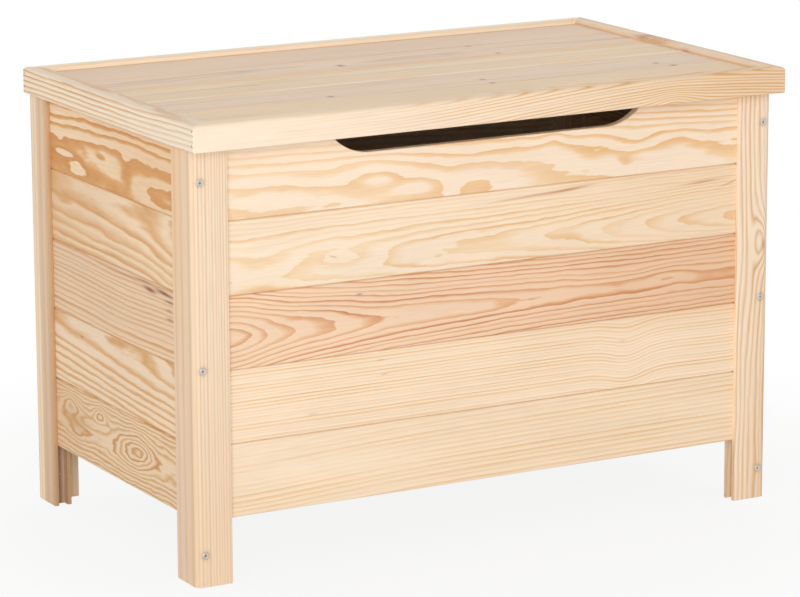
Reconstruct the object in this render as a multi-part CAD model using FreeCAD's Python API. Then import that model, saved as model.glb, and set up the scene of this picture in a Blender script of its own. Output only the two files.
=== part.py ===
import FreeCAD, Part

import math
import os

from FreeCAD import Vector

# Raw pine storage trunk: grooved corner posts, tongue-and-groove boards, and a mitred lid on two
# butt hinges. Millimetres, +X along the front to the right, +Y to the back, +Z up. The origin is
# on the floor, under the middle of the whole closed trunk.

# Chest
chest_width = 768.0
chest_depth = 440.0
foot_clearance = 75.0
course_count = 5

# Tongue-and-groove boards of the walls
board_face_width = 85.0
board_thickness = 11.0
tongue_thickness = 4.0
tongue_height = 4.5
tongue_side_clearance = 0.15
tongue_end_clearance = 0.5
seam_bevel = 1.2
board_arris = 1.0

# Corner posts, each an L of a face strip and a side strip
face_strip_width = 45.0
side_strip_width = 29.0
post_flange = 5.5
post_lip = 5.5
post_groove_depth = 10.0
groove_side_clearance = 0.15
board_end_clearance = 3.0
post_corner_radius = 8.0
post_arris = 1.2

# Finger slot in the upper edge of the top front board
slot_flat_length = 312.0
slot_depth = 23.5
slot_end_radius = 65.0
slot_edge_radius = 1.2

# Lid frame and planks
lid_side_overhang = 6.0
lid_front_overhang = 20.0
rail_width = 22.0
rail_above_planks = 5.5
rail_below_planks = 14.5
rail_outer_radius = 5.5
lid_corner_radius = 2.0
rail_inner_radius = 2.0
rail_bottom_arris = 1.2
plank_count = 5
plank_thickness = 11.0
plank_groove_depth = 8.0
plank_engagement = 4.5

# Battens under the lid
lid_batten_width = 45.0
lid_batten_from_rail = 148.0
lid_batten_clearance = 0.5
lid_batten_radius = 3.0

# Base
base_batten_height = 20.0
base_batten_thickness = 18.0
base_batten_end_clearance = 0.5
base_batten_radius = 2.0
base_panel_thickness = 6.0
base_panel_clearance = 0.5

# Screws and brads
post_screw_head_radius = 3.9
post_screw_shank_radius = 2.0
post_screw_end_distance = 37.0
post_screw_tip_show = 2.0
base_screw_head_radius = 3.4
base_screw_shank_radius = 1.75
base_screw_cover = 4.0
base_screw_end_distance = 60.0
long_batten_screw_count = 3
short_batten_screw_count = 2
lid_screw_head_radius = 3.4
lid_screw_shank_radius = 1.75
lid_screw_cover = 3.0
brad_radius = 0.7
brad_head_radius = 1.1
brad_head_height = 0.6
brad_length = 30.0
brad_from_mitre_tip = 4.5
brad_from_top = 7.0
brad_from_bottom = 8.0
screw_hole_clearance = 0.1
screw_sink = 0.3

# Hinges
hinge_length = 28.0
hinge_leaf_height = 20.0
hinge_leaf_thickness = 1.5
hinge_from_groove = 13.5
knuckle_radius = 3.0
knuckle_wood_gap = 0.3
knuckle_end_gap = 0.2
knuckle_leaf_gap = 0.3
hinge_pin_radius = 1.5
hinge_pin_clearance = 0.05
hinge_pin_head_radius = 2.3
hinge_pin_head_length = 0.8
hinge_screw_head_radius = 3.0
hinge_screw_shank_radius = 1.5
hinge_screw_length = 14.0
hinge_screw_spread = 15.0
hinge_screw_height_share = 0.57

# How far every cutting tool runs past the surface that it opens
cut_overrun = 5.0

# Heights and planes that follow from the sizes above
post_height = foot_clearance + course_count * board_face_width
post_thickness = post_flange + board_thickness + post_lip
side_leg = post_thickness + side_strip_width
rail_height = rail_below_planks + plank_thickness + rail_above_planks
lid_width = chest_width + 2 * lid_side_overhang
lid_depth = chest_depth + lid_front_overhang
hinge_reach = knuckle_wood_gap + 2 * knuckle_radius
whole_depth = lid_depth + hinge_reach

back_y = whole_depth / 2 - hinge_reach
front_y = back_y - chest_depth
chest_mid_y = (front_y + back_y) / 2
lid_front_y = -whole_depth / 2
lid_mid_y = (lid_front_y + back_y) / 2
side_x = chest_width / 2
lid_side_x = lid_width / 2
lid_top_z = post_height + rail_height
plank_top_z = lid_top_z - rail_above_planks
plank_bottom_z = plank_top_z - plank_thickness

os.makedirs("parts", exist_ok=True)


def save(name, shape):
    shape.exportStep("parts/" + name + ".step")


def rounded_face(corners, place):
    """Face inside a closed outline. Each corner is (u, v) or (u, v, radius); place puts (u, v) in space."""
    points = [Vector(corner[0], corner[1], 0) for corner in corners]
    radii = [corner[2] if len(corner) > 2 else 0 for corner in corners]
    starts = []
    ends = []
    arcs = []
    for i, corner in enumerate(points):
        before = (points[i - 1] - corner).normalize()
        after = (points[(i + 1) % len(points)] - corner).normalize()
        if radii[i] == 0:
            starts.append(corner)
            ends.append(corner)
            arcs.append(None)
            continue
        half_angle = before.getAngle(after) / 2
        reach = radii[i] / math.tan(half_angle)
        inward = (before + after).normalize()
        starts.append(corner + before * reach)
        ends.append(corner + after * reach)
        arcs.append(corner + inward * (radii[i] / math.sin(half_angle) - radii[i]))
    edges = []
    for i in range(len(points)):
        start = place(starts[i].x, starts[i].y)
        end = place(ends[i].x, ends[i].y)
        if arcs[i] is not None:
            edges.append(Part.Arc(start, place(arcs[i].x, arcs[i].y), end).toShape())
        following = starts[(i + 1) % len(points)]
        edges.append(Part.LineSegment(end, place(following.x, following.y)).toShape())
    return Part.Face(Part.Wire(edges))


def solid(corners, place, travel):
    """Outline pushed along travel into a solid."""
    shape = rounded_face(corners, place).extrude(travel)
    if shape.Volume < 0:
        shape.reverse()
    return shape


def block(low, high):
    """Box between two opposite corners."""
    size = high - low
    return Part.makeBox(size.x, size.y, size.z, low)


def screw(at, into, head_radius, shank_radius, length, clearance=0):
    """Countersunk screw, sunk below the surface at its place; with a clearance, the tool for its hole."""
    head = head_radius + clearance
    shank = shank_radius + clearance
    cone = head_radius - shank_radius
    tip = length - 2 * shank_radius
    profile = [Vector(0, 0, 0), Vector(head, 0, 0), Vector(shank, 0, cone), Vector(shank, 0, tip)]
    profile.append(Vector(0, 0, length + clearance))
    if clearance:
        profile[0] = Vector(0, 0, -screw_sink - cut_overrun)
        profile.insert(1, Vector(head, 0, -screw_sink - cut_overrun))
    face = Part.Face(Part.makePolygon(profile + profile[:1]))
    shape = face.revolve(Vector(0, 0, 0), Vector(0, 0, 1), 360)
    if shape.Volume < 0:
        shape.reverse()
    seat = at + into * screw_sink
    shape.Placement = FreeCAD.Placement(seat, FreeCAD.Rotation(Vector(0, 0, 1), into))
    return shape


def board_section(thickness, low, high, groove, tongue):
    """Outline across a board as (depth below its face, height, radius), with a V at each joined edge."""
    near = (thickness - tongue_thickness) / 2
    far = near + tongue_thickness
    groove_near = near - tongue_side_clearance
    groove_far = far + tongue_side_clearance
    groove_top = low + tongue_height + tongue_end_clearance
    tongue_top = high + tongue_height
    section = []
    if groove:
        section += [(groove_far, low), (groove_far, groove_top)]
        section += [(groove_near, groove_top), (groove_near, low)]
        section += [(seam_bevel, low), (0, low + seam_bevel)]
    else:
        section += [(0, low, board_arris)]
    if tongue:
        section += [(0, high - seam_bevel), (seam_bevel, high)]
        section += [(near, high), (near, tongue_top), (far, tongue_top), (far, high)]
    else:
        section += [(0, high, board_arris)]
    section += [(thickness, high), (thickness, low)]
    return section


# Screws of the posts: three in each, through the face strip and on into the edge of the side strip.
post_screw_reach = post_thickness + side_strip_width - post_groove_depth + post_screw_tip_show
post_screw_length = post_screw_reach - screw_sink
post_screw_heights = [post_screw_end_distance, post_height / 2, post_height - post_screw_end_distance]
corners = {
    "front_left": (-1, -1),
    "front_right": (1, -1),
    "back_left": (-1, 1),
    "back_right": (1, 1),
}


def post_screws(sign_x, sign_y, clearance=0):
    screws = []
    for height in post_screw_heights:
        at = Vector(sign_x * (side_x - post_thickness / 2), chest_mid_y + sign_y * chest_depth / 2, height)
        into = Vector(0, -sign_y, 0)
        screws.append(screw(at, into, post_screw_head_radius, post_screw_shank_radius,
                            post_screw_length, clearance))
    return screws


save("post_screws", Part.makeCompound([s for signs in corners.values() for s in post_screws(*signs)]))


# Hinge screws: two in each leaf, driven from behind.
hinge_x = side_x - face_strip_width + post_groove_depth + hinge_from_groove
hinge_screw_height = hinge_leaf_height * hinge_screw_height_share


def hinge_screws(sign_x, up, clearance=0):
    screws = []
    for along in (-hinge_screw_spread / 2, hinge_screw_spread / 2):
        at = Vector(sign_x * hinge_x + along, back_y + hinge_leaf_thickness,
                    post_height + up * hinge_screw_height)
        screws.append(screw(at, Vector(0, -1, 0), hinge_screw_head_radius, hinge_screw_shank_radius,
                            hinge_screw_length, clearance))
    return screws


save("hinge_body_screws", Part.makeCompound(hinge_screws(-1, -1) + hinge_screws(1, -1)))
save("hinge_lid_screws", Part.makeCompound(hinge_screws(-1, 1) + hinge_screws(1, 1)))


# Corner posts. Both strips have a groove for the board ends, open at the foot, with a flange outside
# it and a lip inside.
groove_near = post_flange - groove_side_clearance
groove_far = post_flange + board_thickness + groove_side_clearance
face_groove_floor = face_strip_width - post_groove_depth
side_groove_floor = side_leg - post_groove_depth
face_section = [
    (0, 0, post_corner_radius),
    (face_strip_width, 0, post_arris),
    (face_strip_width, groove_near),
    (face_groove_floor, groove_near),
    (face_groove_floor, groove_far),
    (face_strip_width, groove_far),
    (face_strip_width, post_thickness, post_arris),
    (0, post_thickness),
]
side_section = [
    (0, post_thickness),
    (post_thickness, post_thickness),
    (post_thickness, side_leg, post_arris),
    (groove_far, side_leg),
    (groove_far, side_groove_floor),
    (groove_near, side_groove_floor),
    (groove_near, side_leg),
    (0, side_leg, post_arris),
]

for corner, (sign_x, sign_y) in corners.items():
    def in_corner(from_side, from_face, sx=sign_x, sy=sign_y):
        return Vector(sx * (side_x - from_side), chest_mid_y + sy * (chest_depth / 2 - from_face), 0)

    holes = post_screws(sign_x, sign_y, screw_hole_clearance)
    side_strip = solid(side_section, in_corner, Vector(0, 0, post_height))
    save("post_" + corner + "_side", side_strip.cut(holes))
    if sign_y > 0:
        holes += hinge_screws(sign_x, -1, screw_hole_clearance)
    face_strip = solid(face_section, in_corner, Vector(0, 0, post_height))
    save("post_" + corner + "_face", face_strip.cut(holes))


# The four walls, and how a section of (depth, height) runs along one of them.
walls = ("front", "back", "left", "right")


def wall_run(wall, inset, long_half, short_half):
    """Place of a section that starts inset from a wall's outer plane, and its travel along that wall."""
    outward = -1 if wall in ("front", "left") else 1
    if wall in ("front", "back"):
        def place(depth, height):
            return Vector(-long_half, chest_mid_y + outward * (chest_depth / 2 - inset - depth), height)
        return place, Vector(2 * long_half, 0, 0)

    def place(depth, height):
        return Vector(outward * (side_x - inset - depth), chest_mid_y - short_half, height)
    return place, Vector(0, 2 * short_half, 0)


# Base battens and their screws, driven outward from inside into the lowest boards.
board_inset = post_flange + board_thickness
batten_bottom_z = foot_clearance
batten_top_z = batten_bottom_z + base_batten_height
long_batten_half = side_x - face_strip_width - base_batten_end_clearance
short_batten_half = chest_depth / 2 - side_leg - base_batten_end_clearance
base_screw_length = base_batten_thickness + board_thickness - base_screw_cover - screw_sink
wall_x = side_x - board_inset
wall_y = chest_depth / 2 - board_inset


def spread(half_length, end_distance, count):
    """Evenly spaced places along a batten, the same distance from both ends."""
    reach = half_length - end_distance
    return [reach * (2 * i / (count - 1) - 1) for i in range(count)]


def base_screws(wall, clearance=0):
    screws = []
    height = (batten_bottom_z + batten_top_z) / 2
    if wall in ("front", "back"):
        outward = -1 if wall == "front" else 1
        for x in spread(long_batten_half, base_screw_end_distance, long_batten_screw_count):
            at = Vector(x, chest_mid_y + outward * (wall_y - base_batten_thickness), height)
            screws.append((at, Vector(0, outward, 0)))
    else:
        outward = -1 if wall == "left" else 1
        for y in spread(short_batten_half, base_screw_end_distance, short_batten_screw_count):
            at = Vector(outward * (wall_x - base_batten_thickness), chest_mid_y + y, height)
            screws.append((at, Vector(outward, 0, 0)))
    return [screw(at, into, base_screw_head_radius, base_screw_shank_radius, base_screw_length, clearance)
            for at, into in screws]


batten_section = [
    (0, batten_bottom_z),
    (base_batten_thickness, batten_bottom_z, base_batten_radius),
    (base_batten_thickness, batten_top_z),
    (0, batten_top_z),
]
for wall in walls:
    place, travel = wall_run(wall, board_inset, long_batten_half, short_batten_half)
    batten = solid(batten_section, place, travel)
    save("base_batten_" + wall, batten.cut(base_screws(wall, screw_hole_clearance)))
save("base_batten_screws", Part.makeCompound([s for wall in walls for s in base_screws(wall)]))


# Base panel, laid on the battens and notched in two steps round each post.
panel_x = wall_x - base_panel_clearance
panel_y = wall_y - base_panel_clearance
notch_x = side_x - face_strip_width - base_panel_clearance
lip_x = side_x - post_thickness - base_panel_clearance
lip_y = chest_depth / 2 - post_thickness - base_panel_clearance
notch_y = chest_depth / 2 - side_leg - base_panel_clearance
quarter = [(panel_x, notch_y), (lip_x, notch_y), (lip_x, lip_y), (notch_x, lip_y), (notch_x, panel_y)]
panel_outline = list(quarter)
panel_outline += [(-x, y) for x, y in reversed(quarter)]
panel_outline += [(-x, -y) for x, y in quarter]
panel_outline += [(x, -y) for x, y in reversed(quarter)]
base_panel = solid(panel_outline, lambda x, y: Vector(x, chest_mid_y + y, batten_top_z),
                   Vector(0, 0, base_panel_thickness))
save("base_panel", base_panel)


# Finger slot: a flat floor with a large round at each end, open at the top.
slot_rise = math.sqrt(slot_end_radius**2 - (slot_end_radius - slot_depth)**2)
slot_floor_z = post_height - slot_depth
slot_turn = math.acos((slot_end_radius - slot_depth) / slot_end_radius)


def slot_round(sign, angle):
    """Point on one end's round, by the angle from its lowest point."""
    return Vector(sign * (slot_flat_length / 2 + slot_end_radius * math.sin(angle)), 0,
                  slot_floor_z + slot_end_radius * (1 - math.cos(angle)))


def finger_slot(near_y, far_y):
    left = slot_round(-1, slot_turn)
    right = slot_round(1, slot_turn)
    over = Vector(0, 0, cut_overrun)
    edges = [
        Part.Arc(left, slot_round(-1, slot_turn / 2), slot_round(-1, 0)).toShape(),
        Part.LineSegment(slot_round(-1, 0), slot_round(1, 0)).toShape(),
        Part.Arc(slot_round(1, 0), slot_round(1, slot_turn / 2), right).toShape(),
        Part.LineSegment(right, right + over).toShape(),
        Part.LineSegment(right + over, left + over).toShape(),
        Part.LineSegment(left + over, left).toShape(),
    ]
    tool = Part.Face(Part.Wire(edges))
    tool.translate(Vector(0, near_y - cut_overrun, 0))
    return tool.extrude(Vector(0, far_y - near_y + 2 * cut_overrun, 0))


# Wall boards: five courses on each side, ends held in the post grooves. The lowest board has no groove
# below and the top one has no tongue above.
long_board_half = side_x - face_groove_floor - board_end_clearance
short_board_half = chest_depth / 2 - side_groove_floor - board_end_clearance
front_face_y = front_y + post_flange
for wall in walls:
    place, travel = wall_run(wall, post_flange, long_board_half, short_board_half)
    for course in range(course_count):
        low = foot_clearance + course * board_face_width
        high = low + board_face_width
        first = course == 0
        last = course == course_count - 1
        board = solid(board_section(board_thickness, low, high, not first, not last), place, travel)
        if first:
            board = board.cut(base_screws(wall, screw_hole_clearance))
        if last and wall == "front":
            far_y = front_face_y + board_thickness
            board = board.cut(finger_slot(front_face_y, far_y))
            rim = [edge for edge in board.Edges
                   if edge.BoundBox.YLength < slot_edge_radius
                   and edge.BoundBox.ZMin > slot_floor_z - slot_edge_radius
                   and abs(edge.CenterOfMass.x) < slot_flat_length / 2 + slot_rise
                   and edge.CenterOfMass.z < post_height - slot_edge_radius]
            board = board.makeFillet(slot_edge_radius, rim)
        save("%s_board_%d" % (wall, course + 1), board)


# Lid rails: one moulded section, mitred at the corners, grooved for the planks.
rail_section = [
    (0, post_height, rail_bottom_arris),
    (rail_width, post_height, rail_bottom_arris),
    (rail_width, plank_bottom_z - groove_side_clearance),
    (rail_width - plank_groove_depth, plank_bottom_z - groove_side_clearance),
    (rail_width - plank_groove_depth, plank_top_z + groove_side_clearance),
    (rail_width, plank_top_z + groove_side_clearance),
    (rail_width, lid_top_z, rail_inner_radius),
    (0, lid_top_z, rail_outer_radius),
]
lid_half_depth = lid_depth / 2


def lid_brads(clearance=0):
    """Two brads across each mitre, from the side rail into the end of the front or back rail."""
    brads = []
    for sign_x in (-1, 1):
        for sign_y in (-1, 1):
            for height in (post_height + brad_from_bottom, lid_top_z - brad_from_top):
                from_middle = lid_half_depth - brad_from_mitre_tip
                at = Vector(sign_x * lid_side_x, lid_mid_y + sign_y * from_middle, height)
                inward = Vector(-sign_x, 0, 0)
                shank = Part.makeCylinder(brad_radius + clearance, brad_length + clearance, at, inward)
                head_height = brad_head_height + clearance
                head = Part.makeCylinder(brad_head_radius + clearance, head_height, at, inward)
                brads.append(shank.fuse(head).removeSplitter())
    return brads


def over_lid(plan):
    """Plan of the lid, or of one of its rails, as a tool taller than the rails."""
    low = post_height - cut_overrun
    rise = Vector(0, 0, rail_height + 2 * cut_overrun)
    return solid(plan, lambda x, y: Vector(x, lid_mid_y + y, low), rise)


lid_outline = over_lid([
    (-lid_side_x, -lid_half_depth, lid_corner_radius),
    (lid_side_x, -lid_half_depth, lid_corner_radius),
    (lid_side_x, lid_half_depth, lid_corner_radius),
    (-lid_side_x, lid_half_depth, lid_corner_radius),
])


def mitred_rail(place, travel, plan):
    """Rail section pushed along its side, then cut to a plan with mitred ends and rounded corners."""
    rail = solid(rail_section, place, travel)
    return rail.common(over_lid(plan)).common(lid_outline)


inner_x = lid_side_x - rail_width
inner_half_depth = lid_half_depth - rail_width
brad_holes = lid_brads(screw_hole_clearance)
lid_hinge_holes = hinge_screws(-1, 1, screw_hole_clearance) + hinge_screws(1, 1, screw_hole_clearance)
rail_front = mitred_rail(
    lambda d, z: Vector(-lid_side_x, lid_front_y + d, z), Vector(lid_width, 0, 0),
    [(-lid_side_x, -lid_half_depth), (lid_side_x, -lid_half_depth),
     (inner_x, -inner_half_depth), (-inner_x, -inner_half_depth)])
rail_back = mitred_rail(
    lambda d, z: Vector(-lid_side_x, back_y - d, z), Vector(lid_width, 0, 0),
    [(-lid_side_x, lid_half_depth), (lid_side_x, lid_half_depth),
     (inner_x, inner_half_depth), (-inner_x, inner_half_depth)])
rail_left = mitred_rail(
    lambda d, z: Vector(-lid_side_x + d, lid_front_y, z), Vector(0, lid_depth, 0),
    [(-lid_side_x, -lid_half_depth), (-lid_side_x, lid_half_depth),
     (-inner_x, inner_half_depth), (-inner_x, -inner_half_depth)])
rail_right = mitred_rail(
    lambda d, z: Vector(lid_side_x - d, lid_front_y, z), Vector(0, lid_depth, 0),
    [(lid_side_x, -lid_half_depth), (lid_side_x, lid_half_depth),
     (inner_x, inner_half_depth), (inner_x, -inner_half_depth)])
save("lid_rail_front", rail_front.cut(brad_holes))
save("lid_rail_back", rail_back.cut(brad_holes + lid_hinge_holes))
save("lid_rail_left", rail_left.cut(brad_holes))
save("lid_rail_right", rail_right.cut(brad_holes))
save("lid_brads", Part.makeCompound(lid_brads()))


# Lid planks and the two battens that hold them together from below.
plank_half_length = inner_x + plank_engagement
plank_face_width = (2 * inner_half_depth + 2 * plank_engagement) / plank_count
first_plank_y = lid_mid_y - inner_half_depth - plank_engagement
lid_batten_thickness = rail_below_planks - lid_batten_clearance
lid_screw_length = lid_batten_thickness + plank_thickness - lid_screw_cover - screw_sink
lid_batten_x = inner_x - lid_batten_from_rail


def lid_batten_screws(clearance=0):
    screws = []
    for sign_x in (-1, 1):
        for plank in range(plank_count):
            at = Vector(sign_x * lid_batten_x, first_plank_y + (plank + 1 / 2) * plank_face_width,
                        plank_bottom_z - lid_batten_thickness)
            screws.append(screw(at, Vector(0, 0, 1), lid_screw_head_radius, lid_screw_shank_radius,
                                lid_screw_length, clearance))
    return screws


lid_batten_holes = lid_batten_screws(screw_hole_clearance)
for plank in range(plank_count):
    low = first_plank_y + plank * plank_face_width
    high = low + plank_face_width
    section = board_section(plank_thickness, low, high, plank > 0, plank < plank_count - 1)
    piece = solid(section, lambda d, y: Vector(-plank_half_length, y, plank_top_z - d),
                  Vector(2 * plank_half_length, 0, 0))
    save("lid_plank_%d" % (plank + 1), piece.cut(lid_batten_holes))
lid_batten_section = [
    (-lid_batten_width / 2, plank_bottom_z),
    (lid_batten_width / 2, plank_bottom_z),
    (lid_batten_width / 2, plank_bottom_z - lid_batten_thickness, lid_batten_radius),
    (-lid_batten_width / 2, plank_bottom_z - lid_batten_thickness, lid_batten_radius),
]
for name, sign_x in (("left", -1), ("right", 1)):
    middle = sign_x * lid_batten_x
    start_y = lid_mid_y - inner_half_depth
    batten = solid(lid_batten_section, lambda x, z, m=middle: Vector(m + x, start_y, z),
                   Vector(0, 2 * inner_half_depth, 0))
    save("lid_batten_" + name, batten.cut(lid_batten_holes))
save("lid_batten_screws", Part.makeCompound(lid_batten_screws()))


# Hinges: leaves flat on the back of the posts and of the back rail, three knuckles round one pin.
hinge_axis_y = back_y + knuckle_wood_gap + knuckle_radius
knuckle_length = hinge_length / 3
leaf_root = knuckle_radius + knuckle_leaf_gap


def hinge_leaf(x, up, zones, holes):
    """One leaf with its knuckles; zones are their ends along the pin, from the hinge's middle."""
    half = hinge_length / 2
    root_z = post_height + up * leaf_root
    tip_z = post_height + up * hinge_leaf_height
    leaf = block(Vector(x - half, back_y, min(root_z, tip_z)),
                 Vector(x + half, back_y + hinge_leaf_thickness, max(root_z, tip_z)))
    for start, end in zones:
        web = block(Vector(x + start, back_y, min(root_z, post_height)),
                    Vector(x + end, back_y + hinge_leaf_thickness, max(root_z, post_height)))
        barrel_start = Vector(x + start, hinge_axis_y, post_height)
        barrel = Part.makeCylinder(knuckle_radius, end - start, barrel_start, Vector(1, 0, 0))
        leaf = leaf.fuse([web, barrel])
    bore = Part.makeCylinder(hinge_pin_radius + hinge_pin_clearance, hinge_length + 2 * cut_overrun,
                             Vector(x - half - cut_overrun, hinge_axis_y, post_height), Vector(1, 0, 0))
    return leaf.cut([bore] + holes).removeSplitter()


middle_zone = [(-knuckle_length / 2, knuckle_length / 2)]
outer_start = knuckle_length / 2 + knuckle_end_gap
outer_zones = [(-hinge_length / 2, -outer_start), (outer_start, hinge_length / 2)]
for name, sign_x in (("left", -1), ("right", 1)):
    x = sign_x * hinge_x
    body_holes = hinge_screws(sign_x, -1, screw_hole_clearance)
    lid_holes = hinge_screws(sign_x, 1, screw_hole_clearance)
    save("hinge_%s_body_leaf" % name, hinge_leaf(x, -1, outer_zones, body_holes))
    save("hinge_%s_lid_leaf" % name, hinge_leaf(x, 1, middle_zone, lid_holes))
    start = Vector(x - hinge_length / 2, hinge_axis_y, post_height)
    end = start + Vector(hinge_length, 0, 0)
    pin = Part.makeCylinder(hinge_pin_radius, hinge_length, start, Vector(1, 0, 0))
    heads = [Part.makeCylinder(hinge_pin_head_radius, hinge_pin_head_length, start, Vector(-1, 0, 0)),
             Part.makeCylinder(hinge_pin_head_radius, hinge_pin_head_length, end, Vector(1, 0, 0))]
    save("hinge_%s_pin" % name, pin.fuse(heads).removeSplitter())
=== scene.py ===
import math

import bmesh
import bpy
from mathutils import Matrix, Vector


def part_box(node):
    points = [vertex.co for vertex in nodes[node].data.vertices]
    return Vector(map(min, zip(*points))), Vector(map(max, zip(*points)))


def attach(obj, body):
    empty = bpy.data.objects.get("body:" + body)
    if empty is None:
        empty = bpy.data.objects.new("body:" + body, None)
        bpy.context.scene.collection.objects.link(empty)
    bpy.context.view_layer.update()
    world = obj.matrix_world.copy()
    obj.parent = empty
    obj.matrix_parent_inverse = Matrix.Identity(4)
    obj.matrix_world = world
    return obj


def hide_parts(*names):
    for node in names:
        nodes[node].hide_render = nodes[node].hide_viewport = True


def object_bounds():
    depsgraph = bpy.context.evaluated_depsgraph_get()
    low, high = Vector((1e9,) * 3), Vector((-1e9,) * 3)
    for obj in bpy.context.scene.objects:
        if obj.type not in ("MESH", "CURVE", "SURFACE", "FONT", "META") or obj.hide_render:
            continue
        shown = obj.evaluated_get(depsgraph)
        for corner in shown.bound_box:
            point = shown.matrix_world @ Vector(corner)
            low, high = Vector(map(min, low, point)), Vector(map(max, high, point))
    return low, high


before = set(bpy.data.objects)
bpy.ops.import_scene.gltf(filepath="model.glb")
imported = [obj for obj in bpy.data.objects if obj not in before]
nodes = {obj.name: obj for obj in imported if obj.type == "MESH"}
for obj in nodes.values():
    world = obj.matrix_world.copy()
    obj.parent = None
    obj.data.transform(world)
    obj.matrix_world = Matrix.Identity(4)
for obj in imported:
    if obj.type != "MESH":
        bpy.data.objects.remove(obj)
cad_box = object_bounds()


# Corner posts: planed and sanded pine, left raw. Each post is an L of two strips sawn nearly square to
# the growth rings, so their faces show straight fine lines. Three screws pull the face strip to the side
# strip, and both run down past the boards as a foot.
X, Y, Z = 0, 1, 2
MM = 0.001


def linear(code):
    """Linear colour of an sRGB hex value, as a shader socket takes it."""
    channels = [int(code[i:i + 2], 16) / 255 for i in (1, 3, 5)]
    return tuple(c / 12.92 if c <= 0.04045 else ((c + 0.055) / 1.055) ** 2.4 for c in channels) + (1.0,)


def grey(level):
    """Even grey of a linear level, for ramps that carry a number and for white."""
    return (level, level, level, 1.0)


def add(tree, kind, sockets, stops=(), **settings):
    """One node with its settings. A socket takes a value, or a link where it is given another's output."""
    made = tree.nodes.new("ShaderNode" + kind)
    for name, value in settings.items():
        setattr(made, name, value)
    for key, value in sockets.items():
        if isinstance(value, bpy.types.NodeSocket):
            tree.links.new(value, made.inputs[key])
        else:
            made.inputs[key].default_value = value
    for i, (position, colour) in enumerate(stops):
        stop = made.color_ramp.elements[i] if i < 2 else made.color_ramp.elements.new(position)
        stop.position = position
        stop.color = colour
    return made


# Raw pine, planed along the grain: cream earlywood that darkens slowly to a tan latewood line with a sharp
# outer edge, over a dull sheen. The rings are cut through a log whose pith lies beside or behind the
# piece, so that faces, edges and ends of one piece agree.
#
# A piece's figure is written in mm, from its middle along the grain and from its low edge across:
#   colours     earlywood, the tone between, and latewood
#   pith, ring  where the log's middle lies, across and in depth, and the width of a year's growth
#   lean        rings that the piece crosses in a metre of its length
#   shift       moves all rings by a part of a ring
#   swells      hills in the wood's age, which open the rings to arches and islands: rings, hill
#   wander      how far the rings stray: rings, length, width, a number that tells the layers apart
#   years       how much good and lean years differ in width
#   late, rise, edge  the latewood's share of a ring, how soon it darkens, and how softly it ends
#   strength    the weakest and strongest latewood from place to place
#   least       the weakest latewood from year to year
#   fades       hills that strengthen or weaken the latewood: amount, hill
#   fibres      contrast of the fibres
#   marks       knots, streaks, stains, painted shade and painted highlights: colour, amount, hill
# A hill is its place along and across, its length and width, then its tilt in degrees and its depth.
FAR = 1e6
HILL_FALL = 1 / math.e
HILL_DEPTH = 60.0
SPELLS_PER_RING = 0.7
BEST_YEAR = 1.1
PATCH_LENGTH = 190.0
PATCH_WIDTH = 26.0
FIBRE_LENGTH = 40.0
FIBRE_WIDTH = 1.8
FIBRE_LIGHT = 0.995
FIBRE_RELIEF = 0.6
RELIEF_DEPTH = 0.12
RELIEF_STRENGTH = 0.35
EARLY_ROUGHNESS = 0.6
LATE_ROUGHNESS = 0.48
PINE_SPECULAR = 0.3
# Brown of pin knots, also used for thin lines of painted shade along two lid seams
KNOT_AND_SEAM_SHADE_BROWN = "#8A5A3A"


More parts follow.
